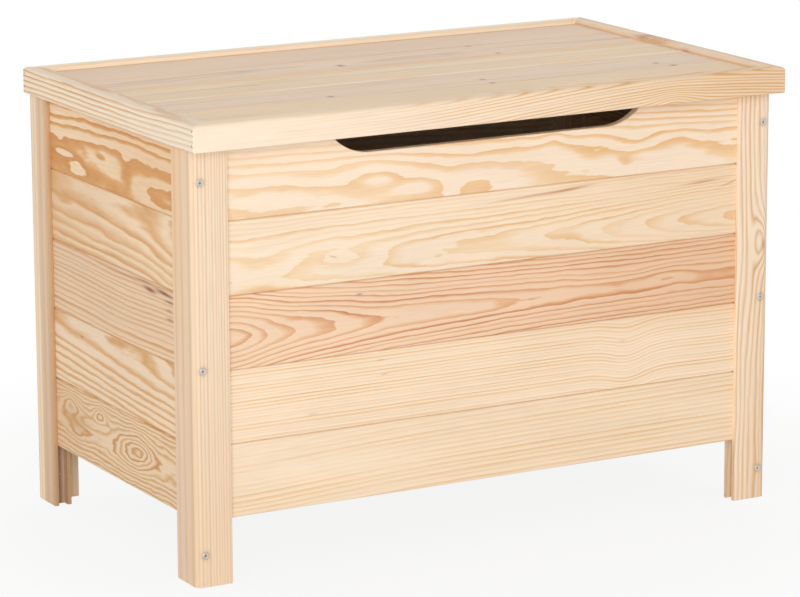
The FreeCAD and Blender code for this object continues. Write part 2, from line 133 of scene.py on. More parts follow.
def pine(piece, along, across, figure, seed, wood="raw_pine"):
    """Wood of one figure on one piece, with the grain along one axis and the figure across another."""
    depth = 3 - along - across
    low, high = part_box(piece)
    origin = (low + high) / 2
    origin[across] = low[across]
    material = bpy.data.materials.new(wood + "_" + piece)
    material.use_nodes = True
    tree = material.node_tree
    shader = tree.nodes["Principled BSDF"]

    place = add(tree, "TexCoord", {})
    local = add(tree, "VectorMath", {0: place.outputs["Object"], 1: origin}, operation="SUBTRACT")
    split = add(tree, "SeparateXYZ", {0: local.outputs[0]})
    turned = add(tree, "CombineXYZ", {0: split.outputs[along], 1: split.outputs[across],
                                      2: split.outputs[depth]})
    mm = add(tree, "VectorMath", {0: turned.outputs[0], "Scale": 1 / MM}, operation="SCALE").outputs[0]

    def noise(length, width, detail, salt):
        """Smooth noise stretched along the grain, from 0 to 1."""
        stretch = add(tree, "Mapping", {"Vector": mm, "Location": (seed + salt, seed - salt, salt),
                                        "Scale": (1 / length, 1 / width, 1 / width)})
        return add(tree, "TexNoise", {"Vector": stretch.outputs[0], "Scale": 1.0,
                                      "Detail": detail}).outputs[0]

    def hill(at_along, at_across, length, width, tilt=0, deep=HILL_DEPTH):
        """Round hill of height 1 at a place, that falls off over its length, width and depth."""
        near = add(tree, "Mapping", {"Vector": mm, "Location": (at_along, at_across, 0),
                                     "Rotation": (0, 0, math.radians(tilt)),
                                     "Scale": (length, width, deep)}, vector_type="TEXTURE").outputs[0]
        gap = add(tree, "VectorMath", {0: near, 1: near}, operation="DOT_PRODUCT")
        return add(tree, "Math", {0: HILL_FALL, 1: gap.outputs["Value"]}, operation="POWER").outputs[0]

    # Age in rings: distance from the pith, the pith's lean to the piece, swells, and the tree's wander
    pith_across, pith_depth = figure["pith"]
    ring = figure["ring"]
    log = add(tree, "Mapping", {"Vector": mm, "Location": (0, pith_across, pith_depth),
                                "Scale": (FAR, ring, ring)}, vector_type="TEXTURE")
    age = add(tree, "VectorMath", {0: log.outputs[0]}, operation="LENGTH").outputs["Value"]
    age = add(tree, "Math", {0: split.outputs[along], 1: figure.get("lean", 0.0), 2: age},
              operation="MULTIPLY_ADD").outputs[0]
    for rings, *place_and_size in figure.get("swells", ()):
        age = add(tree, "Math", {0: hill(*place_and_size), 1: rings, 2: age},
                  operation="MULTIPLY_ADD").outputs[0]
    wander = figure["wander"]
    for rings, length, width, salt in wander:
        age = add(tree, "Math", {0: noise(length, width, 1.0, salt), 1: rings, 2: age},
                  operation="MULTIPLY_ADD").outputs[0]
    shift = figure.get("shift", 0.0) - sum(swing[0] for swing in wander) / 2
    age = add(tree, "Math", {0: age, 1: shift}, operation="ADD").outputs[0]

    # Good and lean years make rings wider and narrower
    years = figure.get("years", 0.4)
    season = add(tree, "Math", {0: age, 1: SPELLS_PER_RING, 2: seed}, operation="MULTIPLY_ADD")
    season = add(tree, "TexNoise", {"W": season.outputs[0], "Scale": 1.0, "Detail": 0.0},
                 noise_dimensions="1D")
    season = add(tree, "Math", {0: season.outputs[0], 1: years, 2: -years / 2}, operation="MULTIPLY_ADD")
    age = add(tree, "Math", {0: age, 1: season.outputs[0]}, operation="ADD").outputs[0]

    # One ring: pale earlywood, a slow turn, full latewood, and back to pale at the next spring
    phase = add(tree, "Math", {0: age}, operation="FRACT").outputs[0]
    late = figure.get("late", 0.45)
    rise = figure.get("rise", 0.5)
    edge = figure.get("edge", 0.05)
    band = add(tree, "ValToRGB", {0: phase}, stops=[
        (0.0, grey(0.02)), (1.0, grey(0.02)), (1 - late, grey(0.05)), (1 - late * (1 - rise), grey(0.75)),
        (1 - edge, grey(1.0))]).outputs[0]

    # Latewood is stronger in some places and some years than in others
    weakest, strongest = figure.get("strength", (0.45, 1.1))
    strength = add(tree, "MapRange", {0: noise(PATCH_LENGTH, PATCH_WIDTH, 4.0, 8.3), 1: 0.3, 2: 0.7,
                                      3: weakest, 4: strongest}).outputs[0]
    year = add(tree, "Math", {0: age}, operation="FLOOR")
    vigour = add(tree, "TexWhiteNoise", {"W": year.outputs[0]}, noise_dimensions="1D")
    vigour = add(tree, "MapRange", {0: vigour.outputs["Value"], 3: figure.get("least", 0.6), 4: BEST_YEAR})
    strength = add(tree, "Math", {0: strength, 1: vigour.outputs[0]}, operation="MULTIPLY").outputs[0]
    for amount, *place_and_size in figure.get("fades", ()):
        strength = add(tree, "Math", {0: hill(*place_and_size), 1: amount, 2: strength},
                       operation="MULTIPLY_ADD").outputs[0]
    tan = add(tree, "Math", {0: band, 1: strength}, operation="MULTIPLY", use_clamp=True).outputs[0]
    early, middle, latewood = (linear(code) for code in figure["colours"])
    colour = add(tree, "ValToRGB", {0: tan}, stops=[(0.0, early), (1.0, latewood),
                                                    (0.5, middle)]).outputs[0]

    # Fibres and broad cloudy tone. Real fibres are finer than a pixel, so they are drawn about 2 mm wide.
    fibre = noise(FIBRE_LENGTH, FIBRE_WIDTH, 2.0, 1.9)
    cloud = noise(PATCH_LENGTH, 2 * PATCH_WIDTH, 1.0, 4.4)
    contrast = figure.get("fibres", 0.04)
    light = add(tree, "MapRange", {0: fibre, 1: 0.25, 2: 0.75,
                                   3: FIBRE_LIGHT - contrast, 4: FIBRE_LIGHT + contrast})
    cloudy = add(tree, "MapRange", {0: cloud, 1: 0.3, 2: 0.7, 3: 0.97, 4: 1.02})
    light = add(tree, "Math", {0: light.outputs[0], 1: cloudy.outputs[0]}, operation="MULTIPLY")
    colour = add(tree, "HueSaturation", {"Color": colour, "Value": light.outputs[0]}).outputs[0]

    # Pin knots, resin streaks and stains, and painted shade and highlights
    for code, amount, *place_and_size in figure.get("marks", ()):
        share = add(tree, "Math", {0: hill(*place_and_size), 1: amount}, operation="MULTIPLY",
                    use_clamp=True)
        colour = add(tree, "Mix", {0: share.outputs[0], 6: colour, 7: linear(code)},
                     data_type="RGBA").outputs[2]

    # Latewood is harder, so it planes smoother and stands a little proud
    rough = add(tree, "MapRange", {0: tan, 3: EARLY_ROUGHNESS, 4: LATE_ROUGHNESS})
    relief = add(tree, "Math", {0: fibre, 1: FIBRE_RELIEF, 2: tan}, operation="MULTIPLY_ADD")
    bump = add(tree, "Bump", {"Strength": RELIEF_STRENGTH, "Distance": RELIEF_DEPTH * MM,
                              "Height": relief.outputs[0]})
    tree.links.new(colour, shader.inputs["Base Color"])
    tree.links.new(rough.outputs[0], shader.inputs["Roughness"])
    tree.links.new(bump.outputs[0], shader.inputs["Normal"])
    shader.inputs["Specular IOR Level"].default_value = PINE_SPECULAR

    mesh = nodes[piece].data
    mesh.materials.clear()
    mesh.materials.append(material)


def between(first, last, count):
    """Evenly spaced places from the first to the last."""
    return [first + (last - first) * i / (count - 1) for i in range(count)]


straight_wander = ((0.35, 400, 30, 3.1), (0.12, 60, 8, 5.7))
# On the front posts' face strips and the back left post's side strip, the mark 200 to 250 mm below the
# middle darkens the post towards the bottom: painted shade where the light falls off towards the floor.
post_figures = {
    "post_front_left_face": dict(
        colours=("#F6E0C7", "#EDCDA9", "#E1B98E"), pith=(-75, 20), ring=5.0, late=0.6, edge=0.25,
        wander=straight_wander, strength=(0.7, 1.1), swells=[(3.0, 0, 50, FAR, 22)],
        marks=[("#EBC9A2", 0.35, 0, 0, FAR, 7), ("#E6C29A", 0.3, -250, 22, 230, 80)]),
    "post_front_right_face": dict(
        colours=("#FFEAD2", "#F1CDA4", "#DCA876"), pith=(-70, 30), ring=6.0, late=0.7, edge=0.3,
        wander=((1.6, 140, 20, 3.1), (0.4, 50, 9, 5.7)),
        swells=[(-3.0, 68, 35, 30, 12), (-1.2, 60, 30, 100, 25)],
        marks=[("#E0B486", 0.35, -200, 40, 240, 24), ("#A8683C", 0.6, 64, 37, 8, 1.8)]),
    # Its last two marks paint the shade at the edge and inside of the groove that takes the left boards.
    "post_back_left_side": dict(
        colours=("#EED0B0", "#E6C29C", "#DCB288"), pith=(-30, 70), ring=6.5, late=0.7, rise=0.7, edge=0.3,
        wander=straight_wander, strength=(0.4, 1.0),
        marks=[("#D8B594", 0.5, -250, 20, 220, 60), ("#B88A58", 0.6, 0, 0, FAR, 3.5),
               ("#6E4A30", 0.9, 0, 5, FAR, 8, 0, 4.5)]),
    "side": dict(
        colours=("#FAE0C6", "#F0CDA9", "#E4B98E"), pith=(-30, 70), ring=6.5, late=0.7, rise=0.7, edge=0.3,
        wander=straight_wander, strength=(0.4, 1.0),
        marks=[("#F3C490", 0.5, 200, 20, 200, 60), ("#E5C8AC", 0.5, -200, 20, 220, 60)]),
    "face": dict(
        colours=("#FCE3C6", "#F4D3AA", "#E9BE8B"), pith=(-80, 40), ring=4.0, wander=straight_wander,
        strength=(0.5, 1.0)),
}
# A dark ring round each screw, three to a face strip, paints the shadow in its countersink along with the
# wood crushed at its rim
BRUISE_AND_SHADOW_BROWN = "#5E4632"
BRUISE_AND_SHADOW_AMOUNT = 0.75
BRUISE_AND_SHADOW_SIZE = 4.3
POST_HEAD = 3.9
POST_SCREWS_UP = 3
post_screws_low, post_screws_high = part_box("post_screws")
post_screw_x = {"left": post_screws_low.x + POST_HEAD * MM, "right": post_screws_high.x - POST_HEAD * MM}
post_screw_z = between(post_screws_low.z + POST_HEAD * MM, post_screws_high.z - POST_HEAD * MM,
                       POST_SCREWS_UP)
SEED_STEP = 7.3
seed = 0.0
for name in sorted(nodes):
    if name.startswith("post_") and name != "post_screws":
        seed += SEED_STEP
        _, _, side, kind = name.split("_")
        figure = post_figures.get(name, post_figures[kind])
        marks = list(figure.get("marks", ()))
        if kind == "face":
            low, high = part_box(name)
            middle = (low.z + high.z) / 2
            from_low_edge = (post_screw_x[side] - low.x) / MM
            for z in post_screw_z:
                marks.append((BRUISE_AND_SHADOW_BROWN, BRUISE_AND_SHADOW_AMOUNT, (z - middle) / MM, from_low_edge,
                              BRUISE_AND_SHADOW_SIZE, BRUISE_AND_SHADOW_SIZE))
        pine(name, Z, X if kind == "face" else Y, dict(figure, marks=marks), seed)


# Wall boards: tongue-and-groove pine, five to a wall, let into the posts' grooves with no glue. Most are
# flat-sawn, which opens the rings into wavy bands, arches and islands, and no two boards are alike.
# Courses count from the bottom.
cream = ("#FEE8CF", "#F9D7AF", "#F0C18A")
front_figures = {
    5: dict(
        colours=cream, pith=(9, 150), ring=2.9, lean=3.6, shift=-52.54, late=0.5, rise=0.4, years=0,
        least=0.8, strength=(0.75, 1.15), wander=((0.5, 70, 14, 3.1), (0.3, 22, 6, 5.7)),
        fades=[(-0.4, -330, 85, 330, 26), (-0.3, 330, 85, 200, 18)],
        marks=[("#FBE6CE", 0.25, -339, 42, 250, 200)],
        swells=[(-0.6, -150, 45, 45, 14), (-0.5, -150, 28, 26, 8), (0.2, -165, 14, 40, 8),
                (0.45, 100, 15, 80, 20), (0.35, -50, 32, 25, 12), (-0.5, 85, 53, 16, 10),
                (0.55, 140, 32, 28, 10), (0.8, 195, 40, 30, 14), (-0.3, 262, 42, 25, 10),
                (0.35, -30, 48, 35, 8), (0.35, -210, 34, 45, 14), (-0.3, -12, 6, 32, 9),
                (0.45, 325, 20, 32, 12), (-0.3, -255, 4, 35, 6), (1.2, 340, 80, 160, 30),
                (0.3, -320, 30, 30, 14), (-0.5, -100, 15, 26, 8), (0.4, -52, 10, 12, 12),
                (0.45, 230, 12, 70, 18), (-0.4, -200, 5, 18, 6), (0.4, 182, 19, 11, 10)]),
    4: dict(
        colours=("#FDE7CD", "#F8D9B2", "#EDBE8C"), pith=(24, 45), ring=3.4, late=0.55, years=0.3,
        strength=(0.5, 1.2), wander=((0.9, 80, 18, 3.1), (0.5, 24, 7, 5.7)), shift=0.5,
        fades=[(-0.2, -330, 40, 300, 60)],
        swells=[(-6.5, 450, 24, 300, 38), (2.2, -300, 28, 80, 34), (0.9, -160, 26, 48, 24),
                (1.0, -195, 28, 28, 11)],
        marks=[("#EDBD88", 0.25, 339, 42, 300, 200), ("#C47C48", 0.6, 60, 75, 50, 1.3, 3),
               ("#B8703C", 0.65, 105, 77, 30, 1.7, 5), ("#B8733F", 0.6, 290, 68, 24, 1.5, 3),
               ("#C07E4C", 0.45, 330, 63, 14, 1.2, 15), ("#B87848", 0.45, -205, 31, 5, 1.0, -20)]),
    3: dict(
        colours=("#F8D8BA", "#ECBA90", "#D0895E"), pith=(38, 9), ring=5.0, late=0.5, years=0.3,
        strength=(0.65, 1.2), wander=((0.8, 90, 18, 3.1), (0.4, 26, 7, 5.7)), shift=-0.3,
        swells=[(-3.0, -339, 39, 65, 200), (-3.6, -339, 39, 260, 200), (0.5, -250, 39, 110, 11),
                (-0.4, 0, 39, 90, 30), (-0.4, -225, 39, 45, 60), (0.3, -135, 39, 35, 40),
                (0.6, 180, 55, 45, 9), (-0.9, 250, 44, 30, 10), (0.5, 255, 32, 16, 6)],
        marks=[("#DDA26C", 0.3, 339, 42, 300, 200), (KNOT_AND_SEAM_SHADE_BROWN, 0.6, -172, 69, 4, 1.2)]),
    2: dict(
        colours=("#FEE7CD", "#F5D0A3", "#E8B67C"), pith=(-140, 40), ring=3.8, late=0.6, years=0.6,
        least=0.25, strength=(0.6, 1.2), wander=((0.5, 200, 18, 3.1), (0.16, 40, 6, 5.7)),
        swells=[(2.3, 187, 30, 30, 70), (-0.4, 245, 40, 40, 70)],
        marks=[(KNOT_AND_SEAM_SHADE_BROWN, 0.3, -145, 74, 5, 1), (KNOT_AND_SEAM_SHADE_BROWN, 0.25, -140, 57, 5, 1),
               (KNOT_AND_SEAM_SHADE_BROWN, 0.2, -233, 22, 6, 1.6), (KNOT_AND_SEAM_SHADE_BROWN, 0.2, 181, 57, 4, 1.2),
               ("#F3CDA6", 0.5, 280, 90, 160, 22)]),
    1: dict(
        colours=("#FCE5C9", "#F5D2A7", "#EABC86"), pith=(-160, 60), ring=5.4, lean=-1.2, late=0.7,
        rise=0.7, years=0.5, edge=0.15, least=0.5, strength=(0.55, 1.15),
        wander=((0.6, 260, 18, 3.1), (0.2, 50, 6, 5.7)),
        swells=[(1.4, -339, 42, 170, 200)], fades=[(-0.4, -300, 62, 230, 40)]),
}
left_figures = {
    5: dict(
        colours=("#FDDFBB", "#E8B579", "#D79653"), pith=(15, 120), ring=60.0, late=0.5, rise=0.4, years=0,
        least=0.9, strength=(0.85, 1.15), wander=((0.35, 60, 14, 3.1), (0.36, 24, 9, 5.7)), shift=-1.34,
        fibres=0.08,
        swells=[(2.5, 0, 85, FAR, 24), (-0.35, -60, 62, 90, 16), (0.5, 160, 66, 60, 16),
                (-0.45, 22, 35, 66, 15), (0.5, 28, 37, 14, 3.5), (0.45, 130, 26, 26, 3.5),
                (0.45, 95, 13, 26, 9), (-1.75, -140, 17, 60, 13.5), (0.7, -140, 17, 40, 8),
                (0.3, -40, 32, 12, 24)],
        marks=[("#D4924F", 0.2, -120, 42, 110, 80)]),
    4: dict(
        colours=("#FBDEBC", "#EABC8A", "#DB9F60"), pith=(75, 65), ring=7.0, lean=3.0, late=0.8, rise=0.6,
        edge=0.25, years=0.3, strength=(0.7, 1.15), wander=((0.8, 90, 18, 3.1), (0.3, 26, 7, 5.7)),
        swells=[(-1.0, -170, 40, 60, 80)], marks=[("#D9A468", 0.25, 170, 42, 110, 80)]),
    3: dict(
        colours=("#F3D4B4", "#E6BA8E", "#D69E68"), pith=(-110, 40), ring=6.8, late=0.6, edge=0.2,
        years=0.5, strength=(0.7, 1.15), wander=((0.7, 90, 18, 3.1), (0.3, 26, 7, 5.7)),
        swells=[(1.5, 0, 85, FAR, 30), (0.7, -20, 45, 90, 100)],
        marks=[("#B8765A", 0.5, -30, 80, 50, 1.4, 2), ("#A05A3C", 0.65, -85, 82, 24, 1.6),
               ("#8A4024", 0.9, -98, 75, 14, 2.8, 4), ("#7A3C28", 0.95, -135, 78, 22, 2.0, 3),
               ("#7A3C28", 0.7, -150, 70, 14, 1.5), ("#A0603C", 0.6, -148, 60, 8, 1.6),
               ("#A0603C", 0.6, -150, 50, 9, 2.0)]),
    2: dict(
        colours=("#FBE1C4", "#ECC08F", "#DEA66B"), pith=(90, 60), ring=6.4, lean=6.0, late=0.6, rise=0.5,
        edge=0.25, years=0.3, least=0.85, shift=1.13, strength=(0.8, 1.2),
        wander=((0.6, 90, 18, 3.1), (0.3, 26, 7, 5.7)),
        swells=[(0.75, -90, 88, 85, 22), (0.3, 50, 88, 40, 18), (0.3, 150, 90, 40, 14)],
        marks=[(KNOT_AND_SEAM_SHADE_BROWN, 0.5, 91, 66, 4, 1.4)]),
    1: dict(
        colours=("#F5DABA", "#E2B480", "#CC8F52"), pith=(43, 50), ring=2.8, shift=0.35, late=0.7, edge=0.3,
        years=0.2, strength=(0.85, 1.25), wander=((1.2, 46, 16, 3.1), (0.7, 20, 7, 5.7)),
        swells=[(-3.5, -47, 43, 42, 22, -12), (-1.0, -75, 46, 20, 10), (-2.6, 128, 62, 24, 12),
                (-2.4, 46, 66, 18, 10), (1.2, 60, 50, 44, 7, -4), (-1.2, 105, 32, 30, 12)],
        marks=[("#CD9A62", 0.55, 110, 42, 38, 13), ("#D9AC78", 0.3, 150, 42, 60, 80)]),
}
# Painted shade darkens the bevels of each seam, where the V-groove holds shade. It is darkest at the
# seam's two ends beside the posts, where the groove runs on in shade under the posts' lips. The back and
# right walls repeat the front's and left's figures one course on.
SEAM_SHADE = "#B98045"
SEAM_END_SHADE = "#5E3C22"
COURSES = 5
SEED_PER_COURSE = 7
board_pitch = (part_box("front_board_2")[0].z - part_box("front_board_1")[0].z) / MM
runs = (("front", X), ("back", X), ("left", Y), ("right", Y))
wall_makings = {
    "front": (front_figures, 10, "post_front_left_face", "post_front_right_face"),
    "back": (front_figures, 90, "post_back_left_face", "post_back_right_face"),
    "left": (left_figures, 50, "post_front_left_side", "post_back_left_side"),
    "right": (left_figures, 130, "post_front_right_side", "post_back_right_side"),
}
for wall, along in runs:
    figures, first_seed, near_post, far_post = wall_makings[wall]
    half = (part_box(far_post)[0][along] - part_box(near_post)[1][along]) / 2 / MM
    for course in range(1, COURSES + 1):
        drawn = course if wall in ("front", "left") else course % COURSES + 1
        marks = list(figures[drawn].get("marks", ()))
        if course > 1:
            marks += [(SEAM_SHADE, 0.45, 0, 0, FAR, 1.1), (SEAM_END_SHADE, 0.8, half, 0, 2.5, 1.5),
                      (SEAM_END_SHADE, 0.6, -half, 0, 2.5, 1.5)]
        if course < COURSES:
            marks.append((SEAM_SHADE, 0.35, 0, board_pitch, FAR, 0.8))
        pine("%s_board_%d" % (wall, course), along, Z, dict(figures[drawn], marks=marks),
             first_seed + SEED_PER_COURSE * course)


# Base: a plywood sheet laid loose on four pine battens, which are screwed to the lowest boards from
# inside. The battens are plain sawn stock. The sheet's face veneer is peeled round the log, so its rings
# spread into broad, pale, wandering figure.
batten_figure = dict(
    colours=("#F6DFC2", "#EFCFA8", "#E4BC8C"), pith=(-60, 30), ring=4.0, wander=straight_wander)
for wall, along in runs:
    seed += SEED_STEP
    pine("base_batten_" + wall, along, Z, batten_figure, seed)
veneer_figure = dict(
    colours=("#F0DCBB", "#E8CDA4", "#DDBB8B"), pith=(180, 300), ring=2.2, late=0.7, strength=(0.3, 0.8),
    wander=((2.0, 260, 60, 3.1), (0.5, 80, 20, 5.7)))
seed += SEED_STEP
pine("base_panel", X, Y, veneer_figure, seed, wood="softwood_plywood")


# Lid rails: one moulded pine section with rounded upper edges and a groove for the planks. It is mitred
# at the corners, glued and pinned with brads. The left rail is striped, and the front one runs from plain
# cream to close orange lines round a small knot.
rail_figures = {
    "front": dict(
        colours=("#FEE8D0", "#EFC795", "#D0945A"), pith=(-90, 30), ring=3.4, late=0.6, edge=0.25,
        strength=(0.8, 1.2), least=0.7, wander=((0.7, 160, 14, 3.1), (0.3, 40, 6, 5.7)),
        swells=[(-8.0, 235, 0, 260, FAR), (-2.2, 235, 2, 30, 14)],
        fades=[(-1.0, -330, 15, 300, 60), (0.3, 330, 15, 160, 60)],
        marks=[("#E8BA88", 0.45, 370, 15, 230, 60), ("#E2BC86", 0.4, 0, 33, FAR, 4)]),
    "back": dict(
        colours=("#FFEBD0", "#F8D8B0", "#ECC08C"), pith=(-90, 30), ring=4.4, wander=straight_wander),
    "left": dict(
        colours=("#FFEED8", "#F3D0A6", "#D69E64"), pith=(-120, 30), ring=5.6, late=0.6, edge=0.12, years=0,
        least=0.7, strength=(0.75, 1.2), wander=((0.6, 120, 12, 3.1), (0.3, 30, 5, 5.7)), shift=-0.47,
        swells=[(-0.7, -230, 15, 90, 60)],
        marks=[("#FFF2E0", 0.4, -230, 15, 150, 60), ("#CDB090", 0.4, 0, 33, FAR, 4)]),
    "right": dict(
        colours=("#F3D9BC", "#EBC79F", "#DDAE7E"), pith=(-90, 30), ring=5.2, wander=straight_wander,
        swells=[(1.6, 35, 31, 30, 20)],
        marks=[("#D2935A", 0.6, 20, 31, 32, 8), ("#A8683C", 0.55, 52, 31, 10, 4),
               ("#A8683C", 0.5, -48, 26, 10, 3)]),
}
for side, along in runs:
    seed += SEED_STEP
    pine("lid_rail_" + side, along, Z, rail_figures[side], seed)


# Lid planks: five tongue-and-groove pine boards that float in the rails' grooves, with two battens screwed
# across them below. Their tops are greyer and rosier than the walls, with pin knots. Pale and orange lines
# painted along the bevels of their seams stand for the light the bevels catch, and thin brown lines there
# are painted shade.
rosy = ("#F0D6BC", "#E6C7A9", "#DAB592")
honey = ("#F3DABA", "#EBCCA6", "#DEB990")
drifting = ((1.2, 180, 20, 3.1), (0.5, 50, 8, 5.7))
PLANKS = 5
plank_base = dict(late=0.7, edge=0.3, strength=(0.3, 1.0), wander=drifting)
# Pale and orange marks 1.5 mm in from a plank's low edge are painted highlights on its seam's bevel, and
# thin brown lines 0.5 mm in are painted shade.
plank_figures = {
    1: dict(colours=honey, pith=(-110, 40), ring=5.2),
    2: dict(
        colours=rosy, pith=(40, 90), ring=4.0,
        marks=[(KNOT_AND_SEAM_SHADE_BROWN, 0.8, -157, 16, 4, 4), (KNOT_AND_SEAM_SHADE_BROWN, 0.7, 52, 30, 3.5, 4),
               (KNOT_AND_SEAM_SHADE_BROWN, 0.7, 50, 4, 3.5, 4), (KNOT_AND_SEAM_SHADE_BROWN, 0.7, 290, 26, 4, 4),
               (KNOT_AND_SEAM_SHADE_BROWN, 0.8, 300, 2, 5, 4), ("#FFDDB0", 0.8, -280, 1.5, 100, 3),
               (KNOT_AND_SEAM_SHADE_BROWN, 0.3, 120, 0.5, 90, 1)]),
    3: dict(
        colours=honey, pith=(60, 50), ring=4.4, strength=(0.4, 1.0),
        marks=[("#F4E2CC", 0.5, 60, 62, 260, 9), ("#DDB384", 0.5, -160, 61, 40, 4),
               ("#FFF0D8", 0.95, 0, 1.5, FAR, 3.4), ("#FBC48C", 0.7, -240, 1.5, 50, 3),
               ("#FBC48C", 0.7, 215, 1.5, 60, 3), ("#FBC48C", 0.6, -20, 1.5, 30, 3)]),
    4: dict(
        colours=rosy, pith=(45, 80), ring=4.2,
        marks=[(KNOT_AND_SEAM_SHADE_BROWN, 0.9, -45, 31, 4.5, 5), (KNOT_AND_SEAM_SHADE_BROWN, 0.7, 165, 16, 3, 4),
               (KNOT_AND_SEAM_SHADE_BROWN, 0.7, 160, 82, 4, 4), ("#FBC28A", 0.85, 0, 1.5, FAR, 3.2)]),
    5: dict(
        colours=rosy, pith=(-90, 50), ring=5.4,
        marks=[("#FFD6A2", 0.8, -290, 1.5, 130, 3), (KNOT_AND_SEAM_SHADE_BROWN, 0.3, 90, 0.5, 120, 1)]),
}
for plank in range(1, PLANKS + 1):
    seed += SEED_STEP
    pine("lid_plank_%d" % plank, X, Y, dict(plank_base, **plank_figures[plank]), seed)
for side in ("left", "right"):
    seed += SEED_STEP
    pine("lid_batten_" + side, Y, X, batten_figure, seed)


# Hinges: two butt hinges of stamped steel, rolled round a pin and zinc plated, on the back of the chest
# and the lid. Zinc plating is bright and slightly cloudy, and its highlights are soft. The real grain is
# finer than a pixel, so it is drawn about 1 mm wide.
STEEL_GRAIN = 1.1
STEEL_GRAIN_DETAIL = 3.0


def steel(name, dark, pale, metallic, roughest, smoothest):
    """Steel with a fine cloudy grain between two tones, smoother where it is paler."""
    material = bpy.data.materials.new(name)
    material.use_nodes = True
    tree = material.node_tree
    shader = tree.nodes["Principled BSDF"]
    place = add(tree, "TexCoord", {})
    grain = add(tree, "TexNoise", {"Vector": place.outputs["Object"], "Scale": 1 / (STEEL_GRAIN * MM),
                                   "Detail": STEEL_GRAIN_DETAIL}).outputs[0]
    colour = add(tree, "ValToRGB", {0: grain}, stops=[(0.3, linear(dark)), (0.7, linear(pale))])
    rough = add(tree, "MapRange", {0: grain, 3: roughest, 4: smoothest})
    tree.links.new(colour.outputs[0], shader.inputs["Base Color"])
    tree.links.new(rough.outputs[0], shader.inputs["Roughness"])
    shader.inputs["Metallic"].default_value = metallic
    return material


zinc_plated_steel = steel("zinc_plated_steel", "#C8CAC6", "#E0E1DC", 1.0, 0.42, 0.26)
for name in nodes:
    if name.startswith("hinge_") or name.endswith("_screws"):
        nodes[name].data.materials.clear()
        nodes[name].data.materials.append(zinc_plated_steel)


# Brads: pins of plain drawn steel, driven across the lid's mitres and set just below the wood. Their ends
# have dulled to brown with dust and resin, so they give hardly any shine.
dulled_steel = steel("dulled_steel", "#A08060", "#BE9C78", 0.3, 0.64, 0.56)
nodes["lid_brads"].data.materials.clear()
nodes["lid_brads"].data.materials.append(dulled_steel)


# Screws: zinc-plated countersunk wood screws with a rolled thread and a punched cross recess, heads just
# below the surface. They hold the posts together, the base battens to the walls, and the lid's battens
# and hinges. The recess takes a greyer, duller steel than the head: painted shade in the recess.
recess_shade_steel = steel("recess_shade_steel", "#A2A099", "#BAB8B2", 1.0, 0.53, 0.47)
SCREW_SIDES = 24
THREAD_PITCH = 1.8
ROWS_PER_TURN = 4
# Shares of the head's radius, of the shank's radius and of the length
HEAD_FLAT = 0.88
HEAD_RIM = 0.1
CROSS_MOUTH = 0.17
CROSS_FLOOR = 0.09
CROSS_DEPTH = 0.28
THREAD_DEPTH = 0.28
POINT_RADIUS = 0.5
POINT_LENGTH = 0.8
PLAIN_LENGTH = 0.3
CROSS = ((1, 3), (1, 1), (3, 1), (3, -1), (1, -1), (1, -3),
         (-1, -3), (-1, -1), (-3, -1), (-3, 1), (-1, 1), (-1, 3))
SHARP_EDGE = math.radians(35)


def screw(shape, seat, into, head, shank, length):
    """One screw in mm, from the middle of its head at the seat, driven along into."""
    turn = Matrix.Translation(seat) @ Vector((0, 0, 1)).rotation_difference(into).to_matrix().to_4x4()

    def loop(points):
        return [shape.verts.new(turn @ (Vector(point) * MM)) for point in points]

    def row(height, radius, thread=0.0):
        points = []
        for side in range(SCREW_SIDES):
            angle = math.tau * side / SCREW_SIDES
            ridge = 1 - thread * abs(((height / THREAD_PITCH - side / SCREW_SIDES) % 1) * 2 - 1)
            points.append((radius * ridge * math.cos(angle), radius * ridge * math.sin(angle), height))
        return loop(points)

    def join(first, second):
        return [shape.faces.new((first[i - 1], first[i], second[i], second[i - 1]))
                for i in range(len(first))]

    def edges(points):
        return [shape.edges.get((points[i - 1], points[i])) for i in range(len(points))]

    height = length * PLAIN_LENGTH
    rows = [row(0, head * HEAD_FLAT), row(head * HEAD_RIM, head), row(head - shank, shank),
            row(height, shank)]
    while height < length - 2 * shank:
        height += THREAD_PITCH / ROWS_PER_TURN
        rows.append(row(height, shank, THREAD_DEPTH))
    rows.append(row(length - shank * POINT_LENGTH, shank * POINT_RADIUS))
    for first, second in zip(rows, rows[1:]):
        join(first, second)
    tip = loop([(0, 0, length)])[0]
    for i in range(SCREW_SIDES):
        shape.faces.new((rows[-1][i - 1], rows[-1][i], tip))
    mouth = loop([(x * head * CROSS_MOUTH, y * head * CROSS_MOUTH, 0) for x, y in CROSS])
    cross_floor = loop([(x * head * CROSS_FLOOR, y * head * CROSS_FLOOR, head * CROSS_DEPTH)
                        for x, y in CROSS])
    # The recess faces take the second, darker steel: painted shade.
    for face in join(mouth, cross_floor) + [shape.faces.new(cross_floor)]:
        face.material_index = 1
    bmesh.ops.triangle_fill(shape, use_beauty=True, edges=edges(rows[0]) + edges(mouth))


def screw_set(node, body, places, head, shank, length):
    """All screws of one CAD node as one piece in its place."""
    shape = bmesh.new()
    for seat, into in places:
        screw(shape, seat, into, head, shank, length)
    bmesh.ops.recalc_face_normals(shape, faces=shape.faces)
    mesh = bpy.data.meshes.new(node + "_driven")
    shape.to_mesh(mesh)
    shape.free()
    for face in mesh.polygons:
        face.use_smooth = True
    mesh.set_sharp_from_angle(angle=SHARP_EDGE)
    mesh.materials.append(zinc_plated_steel)
    mesh.materials.append(recess_shade_steel)
    piece = bpy.data.objects.new(node + "_driven", mesh)
    bpy.context.scene.collection.objects.link(piece)
    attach(piece, body)
    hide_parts(node)


